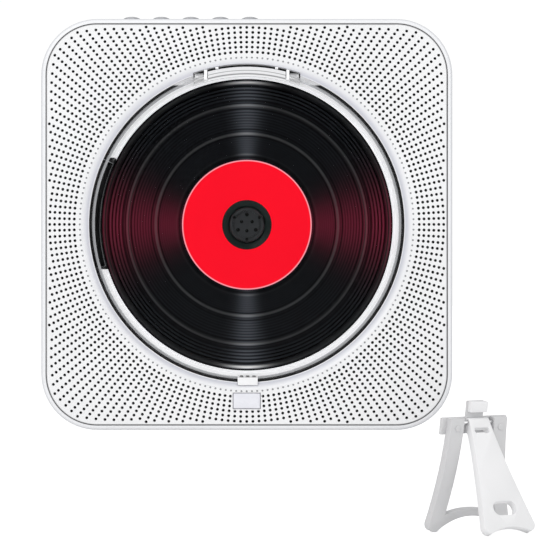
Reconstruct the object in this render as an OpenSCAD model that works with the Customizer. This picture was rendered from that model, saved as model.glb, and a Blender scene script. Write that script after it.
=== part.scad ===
// Wall mounted disc player: a flat rounded square case with a perforated front, a clear round lid
// over the disc, top keys, and a small folding desk stand that lies beside it.
// Pieces are drawn as seen from the front: x to the right, y up, z out of the wall.

/* [Case] */
// Width and height of the case
body_w = 168; // [160:1:204]
// Radius of the case corners
body_r = 23; // [18:1:28]
// Depth of the case, wall to front
body_d = 36; // [35:0.5:44]
// Rounding of the front and back edges
edge_r = 1.8; // [1:0.1:1.9]
// Width of the white rim round the grille panel
rim_w = 2; // [2:0.1:3]
// Wall thickness of the mouldings
wall = 2; // [1.6:0.1:2.4]
// Depth of the rear cover, wall to parting line
split_d = 14; // [14:0.5:15]

/* [Grille] */
// Thickness of the perforated panel
grille_t = 1.5; // [1.2:0.1:1.8]
// Thickness of the dust cloth behind the panel
cloth_t = 0.3; // [0.2:0.05:0.5]
// Gap between the panel and the rim
panel_gap = 0.3; // [0.1:0.05:0.4]
// Radius of one perforation
grille_hole_r = 0.6; // [0.4:0.05:0.65]
// Plain band from the dish to the innermost ring of perforations
grille_band = 2.8; // [2:0.1:4]
// Distance from ring to ring, twice that of the finest panels
grille_pitch = 4; // [2:0.1:6]
// Perforations in one full ring, half as many as on the finest panels
grille_rays = 100; // [60:4:200]
// Plain border between the perforations and the edge of the panel
grille_border = 1.4; // [1.2:0.1:4]

/* [Disc] */
// Radius of the disc
disc_r = 60; // [58:0.5:60]
// Thickness of the disc
disc_t = 1.2; // [1.1:0.1:1.3]
// Radius of the hole in the disc
disc_hole_r = 7.5; // [7.5:0.1:7.6]
// Outer and inner radius of the printed label
label_r = [26.7, 10.2]; // [8:0.1:30]

/* [Disc bay] */
// Room round the disc in its well
disc_gap = 0.9; // [0.7:0.1:1.2]
// Width of the ledge round the well
ledge_w = 3.6; // [3.2:0.1:4]
// Width of the dished ring round the bay
dish_w = 3.1; // [2.6:0.1:3.6]
// Depth of the dish at the bay's lip
dish_h = 1.2; // [0.6:0.1:1.6]
// Start and end of the finger well, degrees from the right
finger_a = [155.3, 196.2]; // [140:0.1:220]

/* [Lid] */
// Gap between the lid and the bay
lid_gap = 0.7; // [0.5:0.05:1]
// Thickness of the clear plate
lid_t = 1.3; // [1:0.1:1.6]
// Distance from the edge of the bay opening in to the hinge axis
hinge_inset = 4.3; // [4.1:0.1:4.5]
// Radius of the hinge pins
hinge_pin_r = 0.8; // [0.7:0.05:0.9]
// Radial running clearance of pins, shafts and rods
running = 0.05; // [0.02:0.01:0.08]
// Distance from the middle to the outer faces of the lid's hinge ears
ear_x = 21.3; // [20:0.1:22]
// Width of the pull tab, and how far it stands to the right of the middle
tab_w = 8.2; // [6:0.1:9]
tab_x = 0.4; // [-0.6:0.1:0.6]

/* [Keys] */
// Number of keys on top
key_count = 5; // [3:1:5]
// Distance from key to key
key_pitch = 12.2; // [11:0.1:13]
// Place of the first key, from the middle
key_x = -47.6; // [-50:0.1:-44]
// Width of a key
key_w = 7.1; // [6:0.1:8]
// Height of a key above the case
key_h = 1.9; // [1.2:0.1:2.6]
// Width and height of the open button
open_size = [11, 6.3]; // [5:0.1:14]
// Distance from the edge of the bay opening to the open button's centre
open_drop = 7.5; // [7:0.1:8]
// Travel of the open button and of the latch
open_travel = 1.2; // [1:0.1:1.3]

/* [Drive] */
// Radius of the guide rods
rod_r = 1.5; // [1.2:0.1:1.6]
// Distance from the middle to the axis of a guide rod
rod_y = 17.5; // [15:0.5:21]
// Place of the lens at rest, from the spindle
lens_x = 24; // [23:0.5:26]
// Travel of the sled
sled_travel = 31; // [24:0.5:32]
// Gear module
gear_m = 0.8; // [0.7:0.02:0.96]
// Teeth of the motor pinion, the large and the small drive gear
teeth = [10, 28, 12]; // [8:1:32]

/* [Speakers] */
// Radius of a speaker basket
speaker_r = 17.5; // [14:0.5:18]
// Distance from a speaker basket to the outside of the case
speaker_inset = 4.2; // [3.6:0.1:4.4]

/* [Stand] */
// Height of the stand without its hook tab
stand_h = 45; // [40:1:52]
// Thickness of the stand's leaves
stand_t = 3.2; // [2.8:0.1:3.6]
// Width of the rear frame at its feet
stand_w = 41; // [37:1:48]
// Width of the rear frame at its top
stand_top_w = 28.5; // [27:0.5:32]
// Width of a side of the rear frame
stand_side_w = 6.6; // [6:0.1:7]
// Height under the cross bar of the rear frame, and thickness of the bar
stand_bar_y = 5.6; // [5:0.1:8]
stand_bar_t = 3; // [2.4:0.1:4]
// Width of the front leg at its top
leg_top_w = 10.2; // [8:0.1:11]
// Width of the front leg at its foot
leg_foot_w = 25.6; // [22:0.1:28]
// Angle of the rear frame and of the front leg from upright
stand_lean = [9, 25]; // [5:0.5:30]
// Width and height of the hook tab
hook_w = 8.6; // [7:0.1:9]
hook_h = 6.4; // [5:0.1:7.5]
// Place of the stand's hinge, past the case's side and out of the wall
stand_away = [7.6, 64]; // [5:0.1:90]
// Turn of the stand to the right
stand_turn = 35; // [0:5:60]
// Distance from the case down to the ground under the stand
stand_drop = 38; // [30:0.5:60]

/* [Hidden] */

round_fn = 96;
small_fn = 32;
gap = 0.3;

// Bay and its walls
well_r = disc_r + disc_gap;
bay_r = well_r + ledge_w;
dish_r = bay_r + dish_w;
grille_ring_r = dish_r + grille_band;
bay_wall = 1.4;
bay_in_r = bay_r + 0.4;
bay_out_r = bay_in_r + bay_wall;
bay_flange_r = bay_out_r + 2.7;
bay_ear_r = bay_flange_r + 5;
bay_ear_a = [30, 150, 210, 330];

// Depths, from the wall out
panel_w = body_w - 2 * rim_w;
panel_r = body_r - rim_w;
panel_z = body_d - grille_t;
baffle_t = 1.7;
baffle_z = panel_z - cloth_t - baffle_t;
bay_top_z = baffle_z - 1.5;
rim_t = 1.6;
panel_seat = 0.8;
cloth_border = panel_seat + 0.1;
well_z = bay_top_z - 7;
floor_t = 2;
bay_back_z = well_z - floor_t;
disc_z = well_z + 2.3;
hub_top_z = disc_z + disc_t + 1.5;
lid_r = bay_r - lid_gap;
lid_z = body_d - 0.4;
lid_skirt = 4;
tab_reach = 1.1;
tab_gap = 0.15;

// Hinge
hinge_y = bay_r - hinge_inset;
hinge_boss_r = hinge_pin_r + 0.7;
hinge_z = body_d - hinge_boss_r;
pocket_z = bay_top_z - 3.6;
hinge_slot_r = bay_r + 1.2;
hinge_edge_r = bay_r - 0.1;
ear_w = 3.6;
lug_w = 1.2;
lug_x = [for (in = [5.5, 0.9]) ear_x - ear_w - in];
lug_foot_z = baffle_z - 3.2;
lug_reach = 3;

// Catch on the lid, latch behind it and the open button
open_y = -bay_r - open_drop;
catch_w = 6;
catch_z = lid_z - lid_skirt - 5.4;
latch_z = baffle_z - 9;
nose_z = catch_z + 1.4;
nose_y = -lid_r - 0.1;

// Drive depths
chassis_t = 1.2;
chassis_z = bay_back_z - 4;
rod_z = chassis_z - 3.2;
sled_z = rod_z - 2.2;
rack_z = rod_z - 2;
gear_t = 3;
motor_gear_z = rack_z - 7;
rack_y = -rod_y - 3.5;
rack_h = 2.4;
gear_x = 30;
pitch_r = [for (n = teeth) n * gear_m / 2];
gear_y = rack_y - rack_h - pitch_r[2];
motor_dir = -120;
motor_dist = pitch_r[0] + pitch_r[1];
motor_xy = [gear_x + motor_dist * cos(motor_dir), gear_y + motor_dist * sin(motor_dir)];
post_y = rod_y + 10;
post_xy = [for (y = [post_y, -post_y], x = [-22, 50]) [x, y]];
post_r = 1.6;
lens_r = 2.2;

// Boards and sockets
board_z = 4;
board_t = 1.6;
board_y = [6 - body_w / 2, 34 - body_w / 2];
board_mid = (board_y[0] + board_y[1]) / 2;
board_x = 60;
inner_w = body_w - 2 * wall;
power_x = -50;
audio_x = -36;
switch_x = -18;
jack_z = board_z + board_t + 4;
jack_y = -inner_w / 2 + 1.4;
power_jack_r = 2.75;
audio_jack_r = 1.8;
jack_w = 9;
socket_hole_r = jack_w / 2 - 0.3;
key_board_y = body_w / 2 - 12;
key_z = 22;
key_d = 4.8;
key_stem_r = 1.4;
switch_h = 4;

// Wall fixing
keyhole_x = 45;
keyhole_y = 42;
keyhole_r = [4.5, 2.2];
keyhole_len = 9;
keyhole_room = 2.6;
hook_y = -30;
hook_hole = [9.4, 5];
hook_depth = 8;
case_screw_xy = [for (sx = [-1, 1], sy = [-1, 1]) [sx * (body_w / 2 - 8), sy * 24]];
boss_r = 3.6;
screw_r = 1.45;
pilot_r = 1.5;

// Stand
stand_at = [body_w / 2 + stand_away[0], stand_away[1]];
ground = -body_w / 2 - stand_drop;
hinge_r = 1.8;
hinge_height = stand_h - hinge_r;
stand_plate_t = 1.4;
stand_plate_h = 6.8;
stand_pin_len = stand_top_w - 2 * stand_side_w + 6;

// ---- shapes that repeat ----

module rounded_square(w, r) {
  square([w - 2 * r, w], center = true);
  square([w, w - 2 * r], center = true);
  for (sx = [-1, 1], sy = [-1, 1])
    translate([sx * (w / 2 - r), sy * (w / 2 - r)]) circle(r = r, $fn = round_fn);
}

module obround(w, h) {
  r = min(w, h) / 2;
  square([max(w - 2 * r, 0.01), min(h, 2 * r)], center = true);
  square([min(w, 2 * r), max(h - 2 * r, 0.01)], center = true);
  for (s = [-1, 1])
    translate([s * (w / 2 - r), s * (h / 2 - r)]) circle(r = r, $fn = small_fn);
}

// A profile (x inwards from the outer face, y out of the wall) carried round a rounded square
module carried_round(w, r) {
  for (q = [0:3]) rotate(90 * q) {
    translate([w / 2 - r, w / 2 - r]) rotate_extrude(angle = 90, $fn = round_fn)
      translate([r, 0]) mirror([1, 0]) children();
    translate([w / 2, -(w / 2 - r), 0]) rotate([90, 0, 180])
      linear_extrude(w - 2 * r) children();
  }
}

module plate(z, t) { translate([0, 0, z]) linear_extrude(t) children(); }

module rod(r, z, t) { translate([0, 0, z]) cylinder(r = r, h = t, $fn = small_fn); }

module ring(r_out, r_in, z, t) {
  plate(z, t) difference() {
    circle(r = r_out, $fn = round_fn);
    circle(r = r_in, $fn = round_fn);
  }
}

module across(x, w) { translate([x, 0, 0]) rotate([90, 0, 90]) linear_extrude(w) children(); }

module pan_screw(head_r, head_h, shank_r, shank_h) {
  cylinder(r = head_r, h = head_h, $fn = small_fn);
  translate([0, 0, head_h - 0.01]) cylinder(r = shank_r, h = shank_h, $fn = small_fn);
}

// A spur gear outline with straight flanks
module gear_outline(n) {
  pr = n * gear_m / 2;
  tip = pr + 0.85 * gear_m;
  root = pr - 1.1 * gear_m;
  step = 360 / n;
  polygon([for (i = [0:n - 1], p = [[root, -0.34], [pr, -0.23], [tip, -0.11],
                                    [tip, 0.11], [pr, 0.23], [root, 0.34]])
    p[0] * [cos((i + p[1]) * step), sin((i + p[1]) * step)]]);
}

function arc(c, r, a0, a1, n) = [for (i = [0:n]) let (a = a0 + (a1 - a0) * i / n) c + r * [cos(a), sin(a)]];

// Turns the front view upright: the wall is the plane y = 0 and the front looks along -y
module hung() { rotate([90, 0, 0]) children(); }

// ---- case ----

module rim_outline() {
  polygon(concat([[wall, split_d], [0, split_d]],
    arc([edge_r, body_d - edge_r], edge_r, 180, 90, 6),
    [[rim_w, body_d], [rim_w, panel_z], [rim_w + panel_seat, panel_z], [rim_w + panel_seat, baffle_z],
     [wall, baffle_z]]));
}

module cover_outline() {
  polygon(concat([[wall + 0.1, split_d], [wall + 0.1, split_d + 2], [wall + 1.2, split_d + 2],
                  [wall + 1.2, split_d - 1.5], [wall, split_d - 2.7], [wall, wall], [edge_r, wall],
                  [edge_r, 0]],
    arc([edge_r, edge_r], edge_r, 270, 180, 6), [[0, split_d]]));
}

module dish_outline() {
  polygon(concat([[bay_r, baffle_z], [dish_r, baffle_z], [dish_r, body_d]],
    [for (i = [1:5]) [dish_r - (dish_r - bay_r) * i / 5, body_d - dish_h * sin(18 * i)]]));
}

module key_row() {
  for (i = [0:key_count - 1]) translate([key_x + i * key_pitch, 0]) children();
}

module front_case() color("white") hung() {
  difference() {
    union() {
      carried_round(body_w, body_r) rim_outline();
      plate(baffle_z, baffle_t) difference() {
        rounded_square(panel_w, panel_r);
        circle(r = bay_r, $fn = round_fn);
        for (s = [-1, 1]) translate([s * speaker_xy, -speaker_xy]) circle(r = speaker_r - 3, $fn = 64);
      }
      rotate_extrude($fn = round_fn) dish_outline();
      for (p = case_screw_xy) translate(p) rod(boss_r, split_d, baffle_z - split_d);
      for (x = [key_x - 8, key_x + (key_count - 1) * key_pitch + 8])
        translate([x, key_board_y + board_t, key_z]) rotate([-90, 0, 0])
          cylinder(r = 2.2, h = body_w / 2 - wall - key_board_y - board_t, $fn = small_fn);
    }
    for (p = case_screw_xy) translate(p) rod(pilot_r, split_d - 1, 13);
    for (a = bay_ear_a) rotate(a) translate([bay_ear_r, 0]) rod(pilot_r, baffle_z - 0.1, 1.6);
    for (s = [-1, 1]) speaker_ears(s) rod(speaker_pilot_r, baffle_z - 0.1, 1.6);
    // keys pass through the top wall
    translate([0, body_w / 2 + 1, key_z]) rotate([90, 0, 0]) linear_extrude(wall + 2)
      key_row() obround(key_w + gap, key_d + gap);
    // open button
    translate([0, open_y, baffle_z - 1]) linear_extrude(body_d) square(open_size + [gap, gap], center = true);
    // room for the pull tab and for the upper edge of the swinging lid
    translate([tab_x - tab_w / 2 - tab_gap, -bay_r - tab_reach - tab_gap, lid_z - 2.4])
      cube([tab_w + 2 * tab_gap, 6, 6]);
    intersection() {
      translate([-ear_x - 0.6, hinge_y - 2.5, baffle_z - 1]) cube([2 * ear_x + 1.2, 12, body_d]);
      rod(hinge_slot_r, baffle_z - 2, body_d);
    }
  }
}

module rear_cover() color("whitesmoke") hung() difference() {
  union() {
    carried_round(body_w, body_r) cover_outline();
    plate(0, wall) rounded_square(body_w - 2 * edge_r, body_r - edge_r);
    for (p = case_screw_xy) translate(p) rod(boss_r + 1, 0, split_d);
    for (x = [-board_x + 6, board_x - 6], y = [board_y[0] + 4, board_y[1] - 4])
      translate([x, y]) rod(2.5, wall - 0.1, board_z - wall + 0.1);
    translate([-hook_hole[0] / 2 - 1.6, hook_y - hook_hole[1] / 2 - 1.6, 0])
      cube([hook_hole[0] + 3.2, hook_hole[1] + 3.2, hook_depth + 1.4]);
    for (s = [-1, 1]) translate([s * keyhole_x, keyhole_y + 2, 0])
      plate(wall - 0.1, keyhole_room + 1.2) rounded_box_2d([14, 22], 4);
  }
  for (p = case_screw_xy) translate(p) {
    rod(3.2, -1, 5);
    rod(pilot_r + 0.2, 0, split_d + 1);
  }
  for (s = [-1, 1]) translate([s * keyhole_x, keyhole_y]) {
    rod(keyhole_r[0], -1, wall + keyhole_room + 1);
    translate([-keyhole_r[1], 0, -1]) cube([2 * keyhole_r[1], keyhole_len, wall + 1]);
    translate([0, keyhole_len]) rod(keyhole_r[1], -1, wall + 1);
    translate([-keyhole_r[0], 0, wall]) cube([2 * keyhole_r[0], keyhole_len, keyhole_room]);
    translate([0, keyhole_len]) rod(keyhole_r[0], wall, keyhole_room);
  }
  translate([-hook_hole[0] / 2, hook_y - hook_hole[1] / 2, -1])
    cube([hook_hole[0], hook_hole[1], hook_depth + 1]);
  // sockets and switch in the bottom wall
  for (x = [power_x, audio_x])
    translate([x, -body_w / 2 - 1, jack_z]) rotate([-90, 0, 0]) cylinder(r = socket_hole_r, h = wall + 3, $fn = small_fn);
  translate([switch_x - 4.5, -body_w / 2 - 1, jack_z - 1.9]) cube([9, wall + 3, 3.8]);
  // vents behind the drive
  for (i = [-3:3]) translate([i * 5, 24]) plate(-1, wall + 2) obround(2, 22);
}

module rounded_box_2d(size, r) {
  square([size[0] - 2 * r, size[1]], center = true);
  square([size[0], size[1] - 2 * r], center = true);
  for (sx = [-1, 1], sy = [-1, 1])
    translate([sx * (size[0] / 2 - r), sy * (size[1] / 2 - r)]) circle(r = r, $fn = small_fn);
}

module case_screws() color("silver") hung()
  for (p = case_screw_xy) translate([p[0], p[1], 2]) difference() {
    pan_screw(2.8, 2, screw_r, 20);
    translate([0, 0, 0.4]) cube([0.8, 3.6, 1], center = true);
    translate([0, 0, 0.4]) cube([3.6, 0.8, 1], center = true);
  }

// ---- grille panel ----

// Whether a point lies within the panel's plain border
function in_panel(p) =
  let (half = panel_w / 2 - grille_border, r = panel_r - grille_border,
       cx = max(abs(p[0]) - half + r, 0), cy = max(abs(p[1]) - half + r, 0))
  abs(p[0]) < half && abs(p[1]) < half && cx * cx + cy * cy < r * r;

// Whether a point is clear of the open button
function off_button(p, grow) =
  abs(p[0]) > open_size[0] / 2 + grow || abs(p[1] - open_y) > open_size[1] / 2 + grow;

function ring_points(r) = [for (i = [1:grille_rays]) r * [cos(i * 360 / grille_rays), sin(i * 360 / grille_rays)]];

ring_count = ceil((panel_w * 0.7 - grille_ring_r) / grille_pitch);

module grille_panel() color("white") hung()
  plate(panel_z, grille_t) difference() {
    rounded_square(panel_w - 2 * panel_gap, panel_r - panel_gap);
    circle(r = dish_r, $fn = round_fn);
    translate([0, open_y]) square(open_size + [gap, gap], center = true);
    for (k = [0:ring_count], p = ring_points(grille_ring_r + k * grille_pitch))
      if (in_panel(p) && off_button(p, 0.8)) translate(p) circle(r = grille_hole_r, $fn = 16);
  }

module dust_cloth() color("#101010") hung() plate(panel_z - cloth_t, cloth_t) difference() {
  rounded_square(panel_w - 2 * cloth_border, panel_r - cloth_border);
  circle(r = dish_r + gap, $fn = round_fn);
  translate([0, open_y]) square(open_size + [2, 2], center = true);
}

// ---- disc bay ----

module finger_sector(r_in, r_out, z, t, grow) {
  translate([0, 0, z]) rotate(finger_a[0] - grow)
    rotate_extrude(angle = finger_a[1] - finger_a[0] + 2 * grow, $fn = round_fn)
      translate([r_in, 0]) square([r_out - r_in, t]);
}

module disc_bay() color("gainsboro") hung() {
  difference() {
    union() {
      plate(bay_back_z, floor_t) circle(r = well_r + 1, $fn = round_fn);
      ring(well_r + rim_t, well_r, bay_back_z, bay_top_z - bay_back_z);
      ring(bay_out_r, well_r, bay_top_z - rim_t, rim_t);
      ring(bay_out_r, bay_in_r, bay_back_z, baffle_z - bay_back_z);
      ring(bay_flange_r, bay_in_r, baffle_z - rim_t, rim_t);
      for (a = bay_ear_a) rotate(a) plate(baffle_z - rim_t, rim_t) {
        translate([bay_ear_r, 0]) circle(r = 4, $fn = small_fn);
        translate([bay_out_r + 1, -4]) square([bay_ear_r - bay_out_r - 1, 8]);
      }
      for (p = post_xy) translate(p) rod(3.2, bay_back_z - 0.6, 0.7);
      for (p = post_xy) translate(p) rod(post_r, chassis_z - 2, bay_back_z - chassis_z + 2.1);
      // box of the hinge pocket
      intersection() {
        translate([-ear_x - 2.2, hinge_y - 4, bay_back_z]) cube([2 * ear_x + 4.4, 12, bay_top_z - bay_back_z]);
        ring(bay_out_r, well_r, bay_back_z, body_d);
      }
    }
    rod(9, bay_back_z - 1, floor_t + 2);
    translate([lens_x - 4.2, -8, bay_back_z - 1]) cube([sled_travel + 8, 16, floor_t + 2]);
    for (a = bay_ear_a) rotate(a) translate([bay_ear_r, 0]) rod(pilot_r, baffle_z - rim_t - 1, rim_t + 2);
    for (p = post_xy) translate(p) rod(0.8, chassis_z - 3, 5.4);
    finger_sector(well_r - 0.2, bay_out_r + 4, bay_back_z - 1, body_d, 0);
    // pocket behind the hinge
    intersection() {
      translate([-ear_x - 0.6, hinge_y - 5, pocket_z]) cube([2 * ear_x + 1.2, 12, body_d]);
      rod(hinge_slot_r, bay_back_z, body_d);
    }
    // slots for the catch and the latch, and room for the open button
    translate([-3.8, -bay_in_r - 0.1, bay_back_z - 1]) cube([7.6, 2.4, body_d]);
    translate([-5.6, -bay_out_r - 1, bay_back_z - 1]) cube([11.2, 2.6, nose_z + 2 - bay_back_z + 1]);
    translate([-8, -bay_flange_r - 1, baffle_z - rim_t - 1]) cube([16, 4.2, rim_t + 2]);
  }
  // hinge lugs that stand in the pocket, and two ribs behind the lid's edge
  for (s = [-1, 1]) {
    translate([s * lug_x[1] - lug_w / 2, 0, 0]) difference() {
      across(0, lug_w) {
        translate([hinge_y, hinge_z]) circle(r = hinge_boss_r, $fn = small_fn);
        translate([hinge_y, lug_foot_z]) square([lug_reach, hinge_z + 0.5 - lug_foot_z]);
        translate([hinge_y, lug_foot_z]) square([bay_out_r - 2.35 - hinge_y, baffle_z - 0.1 - lug_foot_z]);
      }
      translate([-1, hinge_y, hinge_z]) rotate([0, 90, 0]) cylinder(r = hinge_pin_r, h = lug_w + 2, $fn = small_fn);
    }
    translate([s * lug_x[0] - lug_w / 2, hinge_y + lug_reach + 0.4, lug_foot_z]) {
      cube([lug_w, 0.7, hinge_z + 0.5 - lug_foot_z]);
      cube([lug_w, 1.4, baffle_z - 0.1 - lug_foot_z]);
    }
  }
}

module bay_screws() color("silver") hung()
  for (a = bay_ear_a) rotate(a) translate([bay_ear_r, 0, baffle_z - rim_t - 1.6]) pan_screw(2.6, 1.6, screw_r, 2.8);

module finger_well() color("black") hung() {
  finger_sector(well_r, bay_out_r, bay_back_z, 1.5, -0.2);
  finger_sector(bay_in_r, bay_out_r, bay_back_z, baffle_z - bay_back_z, -0.2);
}

// ---- lid ----

module lid() color("aliceblue", 0.4) hung() difference() {
  union() {
    difference() {
      rotate_extrude($fn = round_fn) polygon([[0, lid_z - lid_t], [lid_r - 1.4, lid_z - lid_t],
        [lid_r - 1.2, lid_z - lid_skirt], [lid_r, lid_z - lid_skirt], [lid_r, lid_z - 0.6],
        [lid_r - 0.6, lid_z], [0, lid_z]]);
      // edge cut back behind the ears
      for (s = [-1, 1]) translate([s * (ear_x - ear_w / 2 + 0.1) - ear_w / 2, hinge_y, 0])
        cube([ear_w, 12, body_d + 2]);
    }
    // bar of the hinge between the ears
    intersection() {
      translate([ear_w - ear_x, hinge_y - 3.6, 0]) cube([2 * (ear_x - ear_w), 12, body_d + 2]);
      rotate_extrude($fn = round_fn) polygon([[lid_r - 0.8, lid_z - lid_skirt + 1], [hinge_edge_r, lid_z - lid_skirt + 1],
        [hinge_edge_r, lid_z - 0.4], [hinge_edge_r - 0.4, lid_z], [lid_r - 0.8, lid_z]]);
    }
    // catch that hangs behind the lower edge, with a hook at its end
    translate([-catch_w / 2, -lid_r + 0.1, catch_z]) cube([catch_w, 0.9, lid_z - lid_skirt + 0.5 - catch_z]);
    translate([-catch_w / 2, -lid_r - 0.9, catch_z]) cube([catch_w, 1.9, 1.2]);
    // ears of the hinge
    for (s = [-1, 1]) translate([s * (ear_x - ear_w / 2) - ear_w / 2, 0, 0]) across(0, ear_w) {
      translate([hinge_y, hinge_z]) circle(r = hinge_boss_r, $fn = small_fn);
      translate([hinge_y - 3.6, hinge_z - hinge_boss_r]) square([3.6, lid_z + 0.3 - hinge_z + hinge_boss_r]);
    }
  }
  for (s = [-1, 1]) translate([s * ear_x, hinge_y, hinge_z]) rotate([0, -90 * s, 0])
    translate([0, 0, -1]) cylinder(r = hinge_pin_r + running, h = ear_w + 2, $fn = small_fn);
  // slots that the lugs stand in
  for (s = [-1, 1]) translate([s * lug_x[1] - lug_w / 2 - gap, hinge_y - hinge_boss_r - gap, 0])
    cube([lug_w + 2 * gap, 12, body_d + 2]);
  // seat of the pull tab
  translate([tab_x - tab_w / 2, -lid_r - 1, lid_z - 1.6]) cube([tab_w, 3.1, 4]);
}

module pull_tab() color("white") hung() {
  tab_h = bay_r - lid_r + tab_reach + 2.1;
  translate([tab_x - tab_w / 2, -bay_r - tab_reach, lid_z - 1.6]) difference() {
    cube([tab_w, tab_h, 2]);
    // lower strip at the lid's side with three slots in it
    translate([-1, tab_h - 0.9, 1.5]) cube([tab_w + 2, 2, 1]);
    for (i = [-1:1]) translate([tab_w / 2 + i * tab_w / 3.2 - 0.9, tab_h - 0.7, 0.7]) cube([1.8, 0.45, 2]);
  }
}

module hinge_pin(s) color("silver") hung()
  translate([s * (lug_x[1] - lug_w / 2), hinge_y, hinge_z]) rotate([0, 90 * s, 0])
    cylinder(r = hinge_pin_r, h = ear_x - 0.3 - lug_x[1] + lug_w / 2, $fn = small_fn);
module hinge_pin_left() hinge_pin(-1);
module hinge_pin_right() hinge_pin(1);

// ---- drive ----

sled_x = [-9, 12];
rod_x = [11.5, lens_x + sled_x[1] + sled_travel + 2];
chassis_x = [-27, rod_x[1] + 1.5];

module chassis_outline() {
  tongue = motor_xy - [12.4, 8.6];
  difference() {
    union() {
      translate([chassis_x[0], -post_y - 3.5]) square([chassis_x[1] - chassis_x[0], 2 * post_y + 7]);
      translate([tongue[0], tongue[1]]) square([gear_x + 14 - tongue[0], -post_y + 1 - tongue[1]]);
    }
    translate([lens_x + sled_x[0] - 1, -13]) square([sled_travel + sled_x[1] - sled_x[0] + 1, 26]);
    circle(r = 4, $fn = small_fn);
    for (p = post_xy) translate(p) circle(r = 3, $fn = small_fn);
    translate([-14, 16]) circle(r = 3, $fn = small_fn);
    translate([-14, -16]) circle(r = 3, $fn = small_fn);
  }
}

module mech_chassis() color("silver") hung() {
  plate(chassis_z, chassis_t) chassis_outline();
  for (x = [rod_x[0] - 1.5, rod_x[1]], y = [-rod_y, rod_y])
    difference() {
      translate([x, y - 3, rod_z - 2.4]) cube([1.5, 6, chassis_z - rod_z + 2.5]);
      translate([x - 1, y, rod_z]) rotate([0, 90, 0]) cylinder(r = rod_r, h = 4, $fn = small_fn);
    }
}

module guide_rod(y) color("lightgray") hung()
  translate([rod_x[0] - 1.5, y, rod_z]) rotate([0, 90, 0])
    cylinder(r = rod_r, h = rod_x[1] - rod_x[0] + 3, $fn = small_fn);
module upper_rod() guide_rod(rod_y);
module lower_rod() guide_rod(-rod_y);

module mech_dampers() color("dimgray") hung()
  for (p = post_xy) translate(p)
    rotate_extrude($fn = small_fn) polygon([[post_r + 0.1, chassis_z - 1.8], [4.4, chassis_z - 1.8],
      [4.4, chassis_z], [3, chassis_z], [3, chassis_z + chassis_t], [4.4, chassis_z + chassis_t],
      [4.4, chassis_z + chassis_t + 1.8], [post_r + 0.1, chassis_z + chassis_t + 1.8]]);

module mech_screws() color("silver") hung()
  for (p = post_xy) translate([p[0], p[1], chassis_z - 3.4]) pan_screw(3, 1.4, 0.75, 4);

module spindle_motor() color("silver") hung() difference() {
  union() {
    rod(11, chassis_z - 8.5, 8.5);
    rod(3.9, chassis_z - 0.1, chassis_t + 0.4);
  }
  rod(1 + running, chassis_z - 10, 14);
  for (a = [45, 165, 285]) rotate(a) translate([8, 0]) rod(1, chassis_z - 9, 2);
}

module spindle_shaft() color("lightgray") hung() rod(1, chassis_z - 8, disc_z - chassis_z + 9);

module spindle_hub() color("#2a2d2e") hung() difference() {
  union() {
    rod(5, chassis_z + chassis_t + 1, disc_z - chassis_z - chassis_t - 1);
    plate(disc_z - 1.3, 1.3) circle(r = 13, $fn = round_fn);
    rotate_extrude($fn = 64) polygon([[0, disc_z - 0.1], [disc_hole_r - 0.4, disc_z - 0.1],
      [disc_hole_r - 0.4, hub_top_z - 0.5], [disc_hole_r - 0.9, hub_top_z], [0, hub_top_z]]);
  }
  rod(1, chassis_z, disc_z - chassis_z + 1);
  // groove round the cap, and nine small holes
  plate(hub_top_z - 0.4, 1) difference() {
    circle(r = 5.6, $fn = 64);
    circle(r = 5.2, $fn = 64);
  }
  for (r_a = [[2.5, 30], [4.3, 90]], i = [0:2])
    rotate(r_a[1] + 120 * i) translate([r_a[0], 0]) rod(0.35, hub_top_z - 0.4, 1);
  for (i = [0:2]) rotate(30 + 120 * i) translate([disc_hole_r - 1.8, -0.9, disc_z + 0.4]) cube([3, 1.8, 1.2]);
}

module hub_claws() color("#3c4042") hung()
  for (i = [0:2]) rotate(30 + 120 * i) translate([disc_hole_r - 1.7, -0.7, disc_z + 0.5])
    intersection() {
      cube([1.6, 1.4, 1]);
      translate([0.4, 0.7, 0.4]) sphere(r = 1.15, $fn = small_fn);
    }

module disc() color("#141414") hung() ring(disc_r, disc_hole_r, disc_z, disc_t);

module disc_label() color("#fb1028") hung() ring(label_r[0], label_r[1], disc_z + disc_t, 0.12);

module sled_motor() color("silver") hung() translate([motor_xy[0], motor_xy[1], 0]) difference() {
  intersection() {
    rod(7.5, rack_z - 3.6, chassis_z - rack_z + 3.6);
    translate([-8, -6, 0]) cube([16, 12, body_d]);
  }
  rod(0.8, 0, body_d);
}

module motor_pinion() color("ivory") hung() translate([motor_xy[0], motor_xy[1], 0]) {
  translate([0, 0, motor_gear_z]) rotate(motor_dir + 180 + 180 / teeth[0]) linear_extrude(gear_t) gear_outline(teeth[0]);
  rod(0.75, motor_gear_z, chassis_z - motor_gear_z - 1);
}

module gear_post() color("silver") hung() translate([gear_x, gear_y, 0]) rod(1, motor_gear_z - 1, chassis_z - motor_gear_z + 1);

module drive_gear() color("ivory") hung() translate([gear_x, gear_y, 0]) difference() {
  union() {
    translate([0, 0, motor_gear_z]) rotate(motor_dir) linear_extrude(gear_t) gear_outline(teeth[1]);
    rod(3, motor_gear_z, rack_z - motor_gear_z);
    translate([0, 0, rack_z - 0.1]) rotate(90) linear_extrude(gear_t + 0.4) gear_outline(teeth[2]);
  }
  rod(1 + running, 0, body_d);
}

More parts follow.
